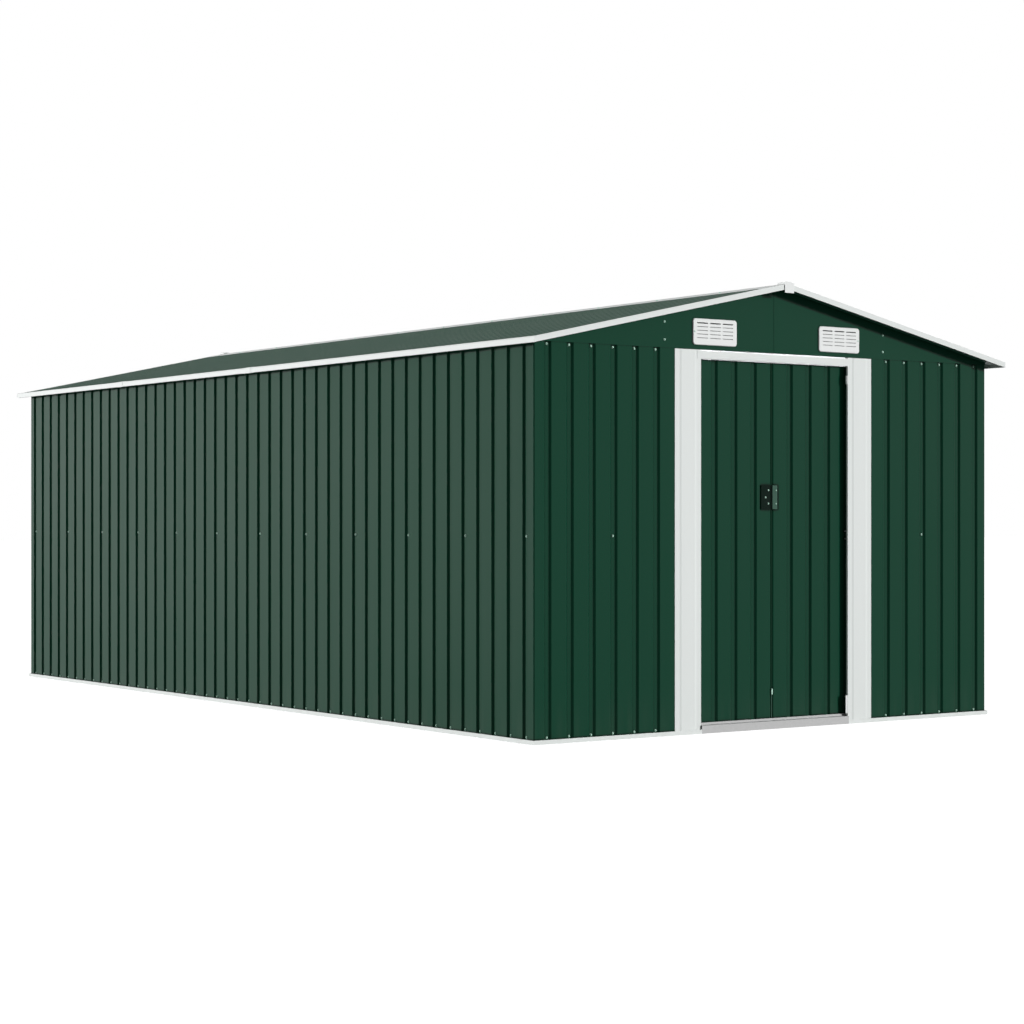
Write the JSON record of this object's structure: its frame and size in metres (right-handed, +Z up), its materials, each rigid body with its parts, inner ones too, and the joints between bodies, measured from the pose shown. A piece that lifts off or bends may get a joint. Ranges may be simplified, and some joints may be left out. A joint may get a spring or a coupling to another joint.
{
  "type": "metal storage shed",
  "caption": "Walk-in metal storage shed with grooved sheet walls, a low ridged roof, louvred gable vents and a pair of sliding doors.",
  "frame": {"origin": "on the ground at the middle of the plan, under the ridge", "axes": "+X to the right along the front, +Y from the doors to the back, +Z up; the doors face -Y"},
  "size_m": [2.556, 4.913, 1.8381],
  "materials": {
    "green_sheet": "dark green coated steel sheet, satin",
    "white_trim": "white coated steel trim, satin",
    "zinc_rail": "zinc coated rolled steel, dull",
    "zinc_track": "pale grey coated steel",
    "white_plastic": "white moulded plastic",
    "roller_plastic": "pale grey moulded nylon on zinc coated hangers",
    "dark_handle": "near-black green moulded plastic"
  },
  "bodies": {
    "root": {"base_rail_left": "white_trim", "base_rail_right": "white_trim", "base_rail_back": "white_trim", "base_rails_front": "white_trim", "left_wall": "green_sheet", "right_wall": "green_sheet", "back_wall": "green_sheet", "front_wall_left": "green_sheet", "front_wall_right": "green_sheet", "door_jamb_left": "white_trim", "door_jamb_right": "white_trim", "door_header": "white_trim", "door_top_track": "zinc_rail", "door_threshold": "zinc_track", "mid_rails_side": "zinc_rail", "mid_rail_back": "zinc_rail", "mid_rails_front": "zinc_rail", "top_rails_side": "zinc_rail", "top_rail_back": "zinc_rail", "ridge_beam": "zinc_rail", "purlin_left": "zinc_rail", "purlin_right": "zinc_rail", "front_gable_left": "green_sheet", "front_gable_right": "green_sheet", "back_gable_left": "green_sheet", "back_gable_right": "green_sheet", "vent_front_left": "white_plastic", "vent_front_right": "white_plastic", "vent_back_left": "white_plastic", "vent_back_right": "white_plastic", "roof_left": "green_sheet", "roof_right": "green_sheet", "eave_trim_left": "white_trim", "eave_trim_right": "white_trim", "gable_trim_front_left": "white_trim", "gable_trim_front_right": "white_trim", "gable_trim_back_left": "white_trim", "gable_trim_back_right": "white_trim", "ridge_cap": "white_trim", "ridge_end_caps": "white_plastic"},
    "left_door": {"left_door_panel": "green_sheet", "left_door_rollers": "roller_plastic", "left_door_handle": "dark_handle"},
    "right_door": {"right_door_panel": "green_sheet", "right_door_rollers": "roller_plastic", "right_door_handle": "dark_handle"}
  },
  "joints": [
    {"name": "left_door_slide", "type": "slide", "parent": "root", "child": "left_door", "axis": [-1, 0, 0], "range_m": [0, 0.335]},
    {"name": "right_door_slide", "type": "slide", "parent": "root", "child": "right_door", "axis": [1, 0, 0], "range_m": [0, 0.335]}
  ]
}
